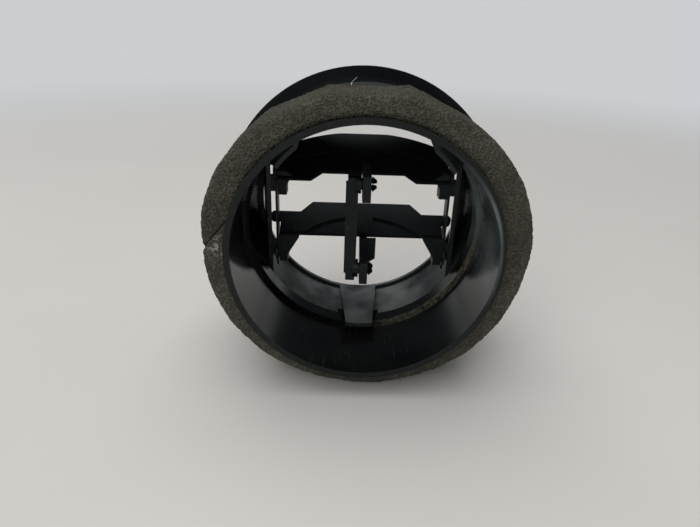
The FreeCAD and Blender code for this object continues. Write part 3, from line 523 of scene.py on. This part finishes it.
# Studio: a plain pale floor under the bezel's and the foam's lowest point.
# Far from the vent it fades into the backdrop that the camera sees.
FLOOR_SIZE, FADE_NEAR, FADE_FAR = 8.0, 0.25, 0.9
BACKDROP = (0.60, 0.62, 0.64, 1)
floor_level = cad_low.z
bpy.ops.object.select_all(action="DESELECT")
bpy.ops.mesh.primitive_plane_add(size=FLOOR_SIZE, location=(0, 0, floor_level))
floor = bpy.context.object
floor.name = "floor"
floor_material = bpy.data.materials.new("pale_floor")
floor_material.use_nodes = True
floor_tree = floor_material.node_tree
floor_link = floor_tree.links.new
floor_shader = floor_tree.nodes["Principled BSDF"]
floor_shader.inputs["Roughness"].default_value = 0.8
floor_spot = put(floor_tree, "ShaderNodeTexCoord", "place").outputs["Object"]
floor_tone = blend(floor_tree, "floor tone", (0.725, 0.70, 0.66, 1), (0.80, 0.78, 0.74, 1),
                   noise(floor_tree, "faint mottle", floor_spot, 6.0, 6.0))
floor_link(floor_tone, floor_shader.inputs["Base Color"])
floor_away = put(floor_tree, "ShaderNodeVectorMath", "distance from the vent", operation="LENGTH")
floor_link(floor_spot, floor_away.inputs[0])
floor_ray = put(floor_tree, "ShaderNodeLightPath", "who looks")
floor_fade = joined(
    floor_tree, "fade for the camera", "MULTIPLY",
    spread(floor_tree, "far away", floor_away.outputs["Value"], FADE_NEAR, FADE_FAR),
    floor_ray.outputs["Is Camera Ray"])
floor_glow = put(floor_tree, "ShaderNodeEmission", "backdrop", {"Color": BACKDROP, "Strength": 1.0})
floor_mix = put(floor_tree, "ShaderNodeMixShader", "floor into backdrop")
floor_link(floor_fade, floor_mix.inputs["Fac"])
floor_link(floor_shader.outputs[0], floor_mix.inputs[1])
floor_link(floor_glow.outputs[0], floor_mix.inputs[2])
floor_link(floor_mix.outputs[0], floor_tree.nodes["Material Output"].inputs["Surface"])
floor.data.materials.append(floor_material)

# The room is pale along the horizon in front of the vent, and darker above
# and on the photographer's side. The camera itself sees the plain backdrop.
ROOM_LIGHT, ROOM_PALE, ROOM_DARK = 0.56, (0.97, 0.98, 1.0, 1), (0.10, 0.105, 0.115, 1)
world = bpy.data.worlds.new("pale_studio")
bpy.context.scene.world = world
world.use_nodes = True
sky_tree = world.node_tree
sky_link = sky_tree.links.new
sky = sky_tree.nodes["Background"]
sky.inputs["Strength"].default_value = ROOM_LIGHT
sky_spot = put(sky_tree, "ShaderNodeTexCoord", "direction").outputs["Generated"]
sky_parts = parts_of(sky_tree, "direction parts", sky_spot)
sky_dark = joined(
    sky_tree, "dark part of the room", "MAXIMUM",
    spread(sky_tree, "towards the photographer", sky_parts["Y"], 0.0, 0.8),
    spread(sky_tree, "above the horizon", sky_parts["Z"], 0.04, 0.16))
sky_link(blend(sky_tree, "room", ROOM_PALE, ROOM_DARK, sky_dark), sky.inputs["Color"])
sky_seen = put(sky_tree, "ShaderNodeBackground", "backdrop", {"Color": BACKDROP, "Strength": 1.0})
sky_ray = put(sky_tree, "ShaderNodeLightPath", "who looks")
sky_mix = put(sky_tree, "ShaderNodeMixShader", "backdrop for the camera")
sky_link(sky_ray.outputs["Is Camera Ray"], sky_mix.inputs["Fac"])
sky_link(sky.outputs[0], sky_mix.inputs[1])
sky_link(sky_seen.outputs[0], sky_mix.inputs[2])
sky_link(sky_mix.outputs[0], sky_tree.nodes["World Output"].inputs["Surface"])

# Soft square lamps: name, place, side in metres and power in watts
LAMPS = (("soft_top", (0.2, -0.05, 1.6), 2.0, 22.5), ("soft_behind", (0.45, 1.2, 0.9), 1.2, 9.0))
for lamp_name, lamp_place, lamp_side, lamp_power in LAMPS:
    lamp_data = bpy.data.lights.new(lamp_name, "AREA")
    lamp_data.shape = "SQUARE"
    lamp_data.size = lamp_side
    lamp_data.energy = lamp_power
    lamp = bpy.data.objects.new(lamp_name, lamp_data)
    bpy.context.scene.collection.objects.link(lamp)
    lamp.location = lamp_place
    lamp.rotation_euler = (-lamp.location).to_track_quat("-Z", "Y").to_euler()

# Camera: from behind and above, as the photograph was taken. The vent lies
# rolled a little, so the camera goes round its axis by as much.
CAMERA_PLACE = Vector((0.00432, 0.1947, 0.06805))
CAMERA_PITCH = math.radians(64.9)
VENT_ROLL = math.radians(1.8)
LENS, SENSOR_WIDTH, NEAREST = 28.03, 36.0, 0.005
camera_data = bpy.data.cameras.new("camera")
camera_data.lens = LENS
camera_data.sensor_width = SENSOR_WIDTH
camera_data.clip_start = NEAREST
camera = bpy.data.objects.new("camera", camera_data)
bpy.context.scene.collection.objects.link(camera)
camera_turn = Matrix.Rotation(math.pi, 4, "Z") @ Matrix.Rotation(CAMERA_PITCH, 4, "X")
camera_aim = Matrix.Translation(CAMERA_PLACE) @ camera_turn
camera.matrix_world = Matrix.Rotation(VENT_ROLL, 4, "Y") @ camera_aim
bpy.context.scene.camera = camera
bpy.context.scene.view_settings.view_transform = "Standard"
